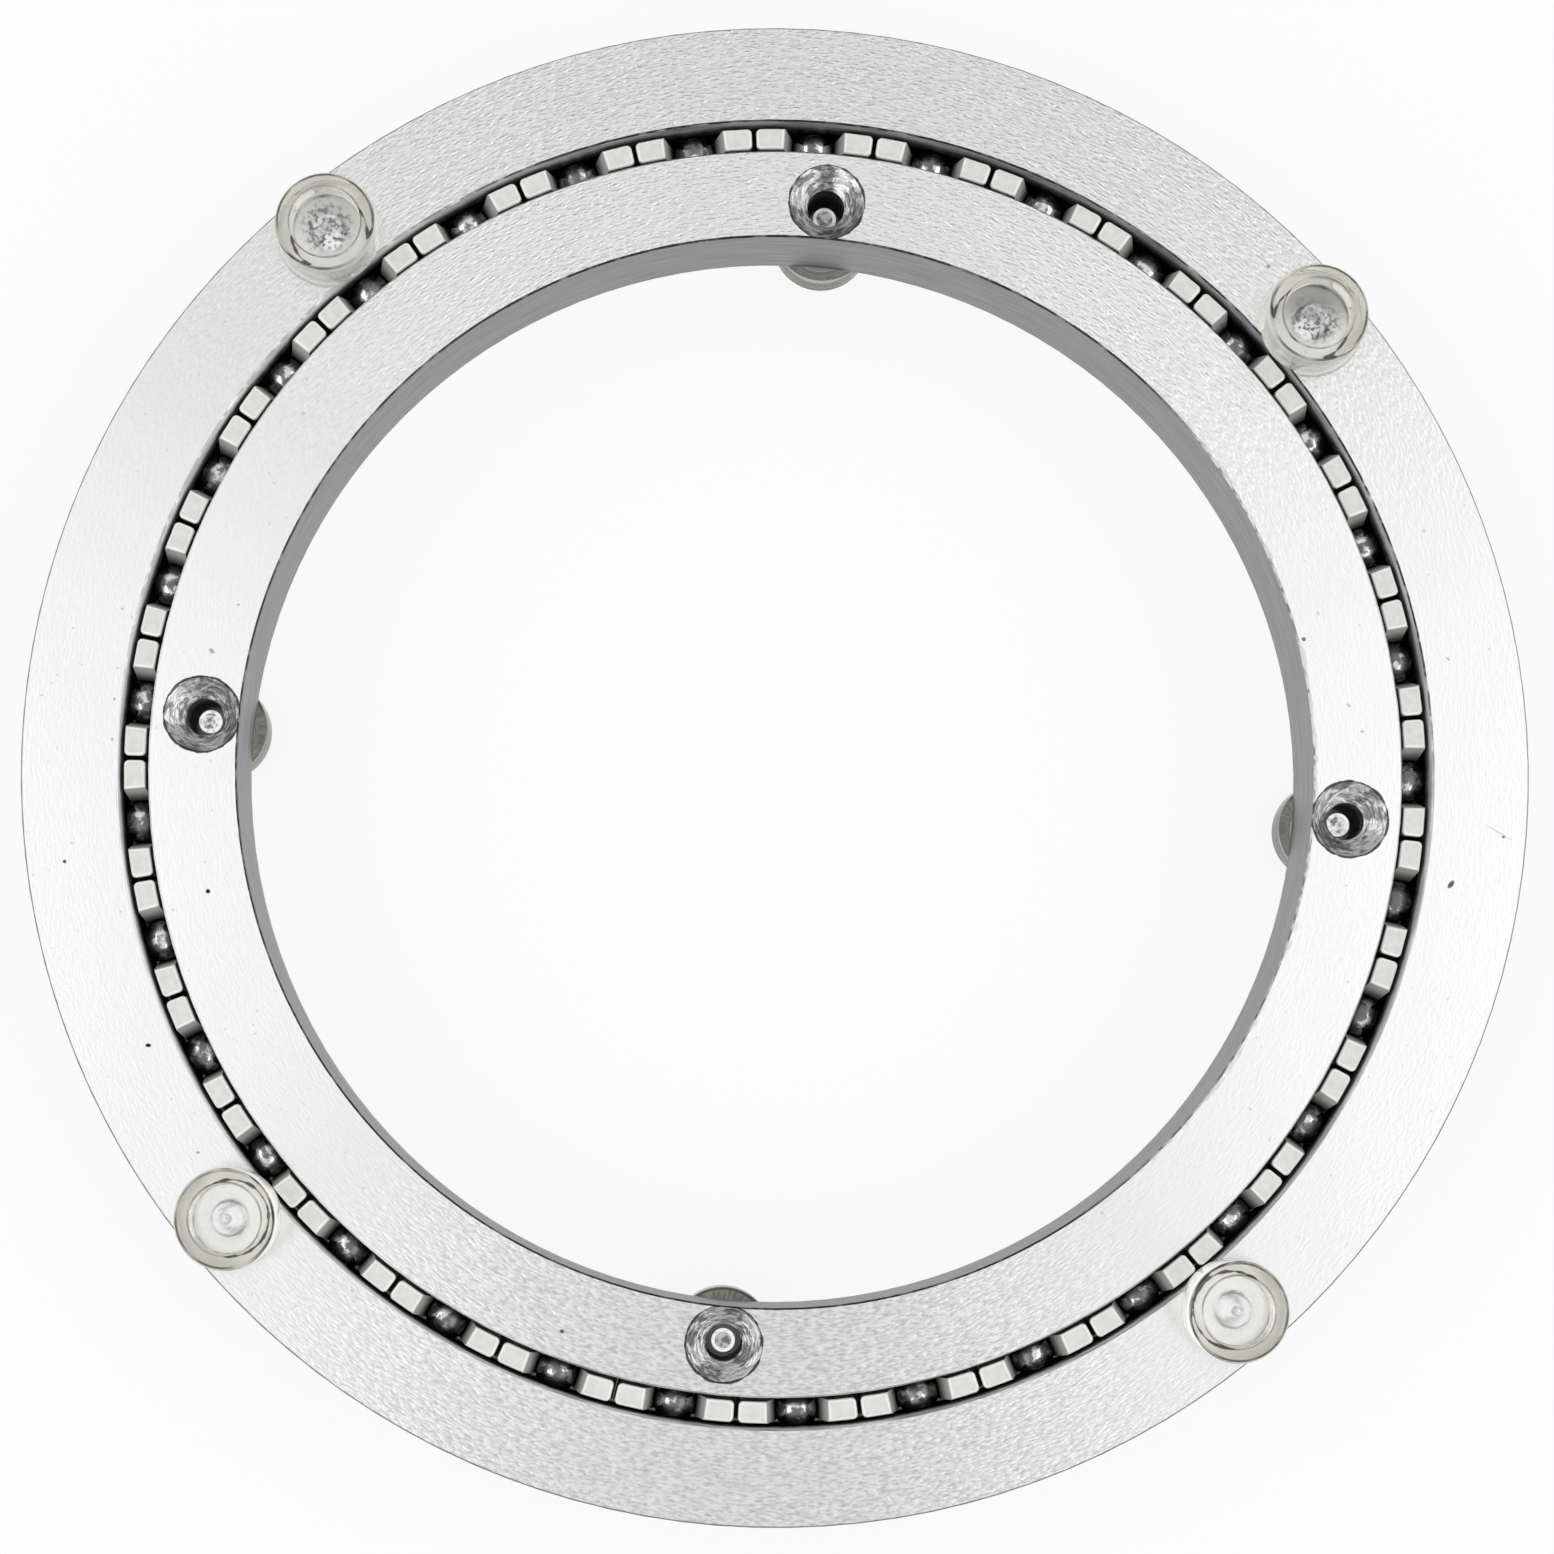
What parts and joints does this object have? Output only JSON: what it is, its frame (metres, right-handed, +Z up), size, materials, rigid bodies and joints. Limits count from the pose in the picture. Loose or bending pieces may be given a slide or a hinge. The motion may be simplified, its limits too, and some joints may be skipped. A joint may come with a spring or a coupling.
{
  "type": "lazy susan bearing",
  "caption": "Flat ring bearing for a turntable: an aluminium outer ring turns round an inner ring on caged steel balls, with clear push-in pads on both faces.",
  "frame": {"origin": "on the bearing's axis, at the level that the bottom pads stand on", "axes": "+Z up along the bearing's axis, +X through a screw hole of the inner ring"},
  "size_m": [0.14, 0.14, 0.0157],
  "materials": {
    "turned_aluminium": "fine turned",
    "polished_steel": "polished",
    "cream_plastic": "moulded",
    "clear_rubber": "clear, soft"
  },
  "bodies": {
    "standing_ring": {"inner_ring": "turned_aluminium", "bottom_pad_1": "clear_rubber", "bottom_pad_2": "clear_rubber", "bottom_pad_3": "clear_rubber", "bottom_pad_4": "clear_rubber"},
    "turning_ring": {"outer_ring": "turned_aluminium", "top_pad_1": "clear_rubber", "top_pad_2": "clear_rubber", "top_pad_3": "clear_rubber", "top_pad_4": "clear_rubber"},
    "retainer_train": {"ball_retainers": "cream_plastic"},
    "rolling_ball_01": {"ball_01": "polished_steel"},
    "rolling_ball_02": {"ball_02": "polished_steel"},
    "rolling_ball_03": {"ball_03": "polished_steel"},
    "rolling_ball_04": {"ball_04": "polished_steel"},
    "rolling_ball_05": {"ball_05": "polished_steel"},
    "rolling_ball_06": {"ball_06": "polished_steel"},
    "rolling_ball_07": {"ball_07": "polished_steel"},
    "rolling_ball_08": {"ball_08": "polished_steel"},
    "rolling_ball_09": {"ball_09": "polished_steel"},
    "rolling_ball_10": {"ball_10": "polished_steel"},
    "rolling_ball_11": {"ball_11": "polished_steel"},
    "rolling_ball_12": {"ball_12": "polished_steel"},
    "rolling_ball_13": {"ball_13": "polished_steel"},
    "rolling_ball_14": {"ball_14": "polished_steel"},
    "rolling_ball_15": {"ball_15": "polished_steel"},
    "rolling_ball_16": {"ball_16": "polished_steel"},
    "rolling_ball_17": {"ball_17": "polished_steel"},
    "rolling_ball_18": {"ball_18": "polished_steel"},
    "rolling_ball_19": {"ball_19": "polished_steel"},
    "rolling_ball_20": {"ball_20": "polished_steel"},
    "rolling_ball_21": {"ball_21": "polished_steel"},
    "rolling_ball_22": {"ball_22": "polished_steel"},
    "rolling_ball_23": {"ball_23": "polished_steel"},
    "rolling_ball_24": {"ball_24": "polished_steel"},
    "rolling_ball_25": {"ball_25": "polished_steel"},
    "rolling_ball_26": {"ball_26": "polished_steel"},
    "rolling_ball_27": {"ball_27": "polished_steel"},
    "rolling_ball_28": {"ball_28": "polished_steel"},
    "rolling_ball_29": {"ball_29": "polished_steel"},
    "rolling_ball_30": {"ball_30": "polished_steel"},
    "rolling_ball_31": {"ball_31": "polished_steel"},
    "rolling_ball_32": {"ball_32": "polished_steel"},
    "rolling_ball_33": {"ball_33": "polished_steel"}
  },
  "joints": [
    {"name": "ring_turn", "type": "hinge", "parent": "standing_ring", "child": "turning_ring", "pos_m": [0, 0, 0.00785], "axis": [0, 0, 1], "continuous": true},
    {"name": "train_turn", "type": "hinge", "parent": "standing_ring", "child": "retainer_train", "pos_m": [0, 0, 0.00785], "axis": [0, 0, 1], "continuous": true},
    {"name": "ball_01_roll", "type": "hinge", "parent": "retainer_train", "child": "rolling_ball_01", "pos_m": [0.05945, 0.00452, 0.00785], "axis": [0, 0, 1], "continuous": true},
    {"name": "ball_02_roll", "type": "hinge", "parent": "retainer_train", "child": "rolling_ball_02", "pos_m": [0.05752, 0.01569, 0.00785], "axis": [0, 0, 1], "continuous": true},
    {"name": "ball_03_roll", "type": "hinge", "parent": "retainer_train", "child": "rolling_ball_03", "pos_m": [0.05351, 0.0263, 0.00785], "axis": [0, 0, 1], "continuous": true},
    {"name": "ball_04_roll", "type": "hinge", "parent": "retainer_train", "child": "rolling_ball_04", "pos_m": [0.04757, 0.03595, 0.00785], "axis": [0, 0, 1], "continuous": true},
    {"name": "ball_05_roll", "type": "hinge", "parent": "retainer_train", "child": "rolling_ball_05", "pos_m": [0.03991, 0.0443, 0.00785], "axis": [0, 0, 1], "continuous": true},
    {"name": "ball_06_roll", "type": "hinge", "parent": "retainer_train", "child": "rolling_ball_06", "pos_m": [0.0308, 0.05105, 0.00785], "axis": [0, 0, 1], "continuous": true},
    {"name": "ball_07_roll", "type": "hinge", "parent": "retainer_train", "child": "rolling_ball_07", "pos_m": [0.02058, 0.05596, 0.00785], "axis": [0, 0, 1], "continuous": true},
    {"name": "ball_08_roll", "type": "hinge", "parent": "retainer_train", "child": "rolling_ball_08", "pos_m": [0.00962, 0.05884, 0.00785], "axis": [0, 0, 1], "continuous": true},
    {"name": "ball_09_roll", "type": "hinge", "parent": "retainer_train", "child": "rolling_ball_09", "pos_m": [-0.00169, 0.0596, 0.00785], "axis": [0, 0, 1], "continuous": true},
    {"name": "ball_10_roll", "type": "hinge", "parent": "retainer_train", "child": "rolling_ball_10", "pos_m": [-0.01294, 0.0582, 0.00785], "axis": [0, 0, 1], "continuous": true},
    {"name": "ball_11_roll", "type": "hinge", "parent": "retainer_train", "child": "rolling_ball_11", "pos_m": [-0.02372, 0.0547, 0.00785], "axis": [0, 0, 1], "continuous": true},
    {"name": "ball_12_roll", "type": "hinge", "parent": "retainer_train", "child": "rolling_ball_12", "pos_m": [-0.03364, 0.04923, 0.00785], "axis": [0, 0, 1], "continuous": true},
    {"name": "ball_13_roll", "type": "hinge", "parent": "retainer_train", "child": "rolling_ball_13", "pos_m": [-0.04235, 0.04197, 0.00785], "axis": [0, 0, 1], "continuous": true},
    {"name": "ball_14_roll", "type": "hinge", "parent": "retainer_train", "child": "rolling_ball_14", "pos_m": [-0.04953, 0.0332, 0.00785], "axis": [0, 0, 1], "continuous": true},
    {"name": "ball_15_roll", "type": "hinge", "parent": "retainer_train", "child": "rolling_ball_15", "pos_m": [-0.05492, 0.02322, 0.00785], "axis": [0, 0, 1], "continuous": true},
    {"name": "ball_16_roll", "type": "hinge", "parent": "retainer_train", "child": "rolling_ball_16", "pos_m": [-0.05832, 0.01241, 0.00785], "axis": [0, 0, 1], "continuous": true},
    {"name": "ball_17_roll", "type": "hinge", "parent": "retainer_train", "child": "rolling_ball_17", "pos_m": [-0.05961, 0.00115, 0.00785], "axis": [0, 0, 1], "continuous": true},
    {"name": "ball_18_roll", "type": "hinge", "parent": "retainer_train", "child": "rolling_ball_18", "pos_m": [-0.05875, -0.01015, 0.00785], "axis": [0, 0, 1], "continuous": true},
    {"name": "ball_19_roll", "type": "hinge", "parent": "retainer_train", "child": "rolling_ball_19", "pos_m": [-0.05577, -0.02109, 0.00785], "axis": [0, 0, 1], "continuous": true},
    {"name": "ball_20_roll", "type": "hinge", "parent": "retainer_train", "child": "rolling_ball_20", "pos_m": [-0.05077, -0.03126, 0.00785], "axis": [0, 0, 1], "continuous": true},
    {"name": "ball_21_roll", "type": "hinge", "parent": "retainer_train", "child": "rolling_ball_21", "pos_m": [-0.04394, -0.04031, 0.00785], "axis": [0, 0, 1], "continuous": true},
    {"name": "ball_22_roll", "type": "hinge", "parent": "retainer_train", "child": "rolling_ball_22", "pos_m": [-0.03552, -0.04789, 0.00785], "axis": [0, 0, 1], "continuous": true},
    {"name": "ball_23_roll", "type": "hinge", "parent": "retainer_train", "child": "rolling_ball_23", "pos_m": [-0.02581, -0.05375, 0.00785], "axis": [0, 0, 1], "continuous": true},
    {"name": "ball_24_roll", "type": "hinge", "parent": "retainer_train", "child": "rolling_ball_24", "pos_m": [-0.01517, -0.05766, 0.00785], "axis": [0, 0, 1], "continuous": true},
    {"name": "ball_25_roll", "type": "hinge", "parent": "retainer_train", "child": "rolling_ball_25", "pos_m": [-0.00398, -0.05949, 0.00785], "axis": [0, 0, 1], "continuous": true},
    {"name": "ball_26_roll", "type": "hinge", "parent": "retainer_train", "child": "rolling_ball_26", "pos_m": [0.00735, -0.05917, 0.00785], "axis": [0, 0, 1], "continuous": true},
    {"name": "ball_27_roll", "type": "hinge", "parent": "retainer_train", "child": "rolling_ball_27", "pos_m": [0.01841, -0.05671, 0.00785], "axis": [0, 0, 1], "continuous": true},
    {"name": "ball_28_roll", "type": "hinge", "parent": "retainer_train", "child": "rolling_ball_28", "pos_m": [0.02881, -0.0522, 0.00785], "axis": [0, 0, 1], "continuous": true},
    {"name": "ball_29_roll", "type": "hinge", "parent": "retainer_train", "child": "rolling_ball_29", "pos_m": [0.03817, -0.04581, 0.00785], "axis": [0, 0, 1], "continuous": true},
    {"name": "ball_30_roll", "type": "hinge", "parent": "retainer_train", "child": "rolling_ball_30", "pos_m": [0.04615, -0.03775, 0.00785], "axis": [0, 0, 1], "continuous": true},
    {"name": "ball_31_roll", "type": "hinge", "parent": "retainer_train", "child": "rolling_ball_31", "pos_m": [0.05246, -0.02834, 0.00785], "axis": [0, 0, 1], "continuous": true},
    {"name": "ball_32_roll", "type": "hinge", "parent": "retainer_train", "child": "rolling_ball_32", "pos_m": [0.05688, -0.0179, 0.00785], "axis": [0, 0, 1], "continuous": true},
    {"name": "ball_33_roll", "type": "hinge", "parent": "retainer_train", "child": "rolling_ball_33", "pos_m": [0.05923, -0.00681, 0.00785], "axis": [0, 0, 1], "continuous": true}
  ],
  "couplings": [
    {"joint": "train_turn", "follows": "ring_turn", "ratio": 0.51677},
    {"joint": "ball_01_roll", "follows": "ring_turn", "ratio": 14.889},
    {"joint": "ball_02_roll", "follows": "ring_turn", "ratio": 14.889},
    {"joint": "ball_03_roll", "follows": "ring_turn", "ratio": 14.889},
    {"joint": "ball_04_roll", "follows": "ring_turn", "ratio": 14.889},
    {"joint": "ball_05_roll", "follows": "ring_turn", "ratio": 14.889},
    {"joint": "ball_06_roll", "follows": "ring_turn", "ratio": 14.889},
    {"joint": "ball_07_roll", "follows": "ring_turn", "ratio": 14.889},
    {"joint": "ball_08_roll", "follows": "ring_turn", "ratio": 14.889},
    {"joint": "ball_09_roll", "follows": "ring_turn", "ratio": 14.889},
    {"joint": "ball_10_roll", "follows": "ring_turn", "ratio": 14.889},
    {"joint": "ball_11_roll", "follows": "ring_turn", "ratio": 14.889},
    {"joint": "ball_12_roll", "follows": "ring_turn", "ratio": 14.889},
    {"joint": "ball_13_roll", "follows": "ring_turn", "ratio": 14.889},
    {"joint": "ball_14_roll", "follows": "ring_turn", "ratio": 14.889},
    {"joint": "ball_15_roll", "follows": "ring_turn", "ratio": 14.889},
    {"joint": "ball_16_roll", "follows": "ring_turn", "ratio": 14.889},
    {"joint": "ball_17_roll", "follows": "ring_turn", "ratio": 14.889},
    {"joint": "ball_18_roll", "follows": "ring_turn", "ratio": 14.889},
    {"joint": "ball_19_roll", "follows": "ring_turn", "ratio": 14.889},
    {"joint": "ball_20_roll", "follows": "ring_turn", "ratio": 14.889},
    {"joint": "ball_21_roll", "follows": "ring_turn", "ratio": 14.889},
    {"joint": "ball_22_roll", "follows": "ring_turn", "ratio": 14.889},
    {"joint": "ball_23_roll", "follows": "ring_turn", "ratio": 14.889},
    {"joint": "ball_24_roll", "follows": "ring_turn", "ratio": 14.889},
    {"joint": "ball_25_roll", "follows": "ring_turn", "ratio": 14.889},
    {"joint": "ball_26_roll", "follows": "ring_turn", "ratio": 14.889},
    {"joint": "ball_27_roll", "follows": "ring_turn", "ratio": 14.889},
    {"joint": "ball_28_roll", "follows": "ring_turn", "ratio": 14.889},
    {"joint": "ball_29_roll", "follows": "ring_turn", "ratio": 14.889},
    {"joint": "ball_30_roll", "follows": "ring_turn", "ratio": 14.889},
    {"joint": "ball_31_roll", "follows": "ring_turn", "ratio": 14.889},
    {"joint": "ball_32_roll", "follows": "ring_turn", "ratio": 14.889},
    {"joint": "ball_33_roll", "follows": "ring_turn", "ratio": 14.889}
  ]
}
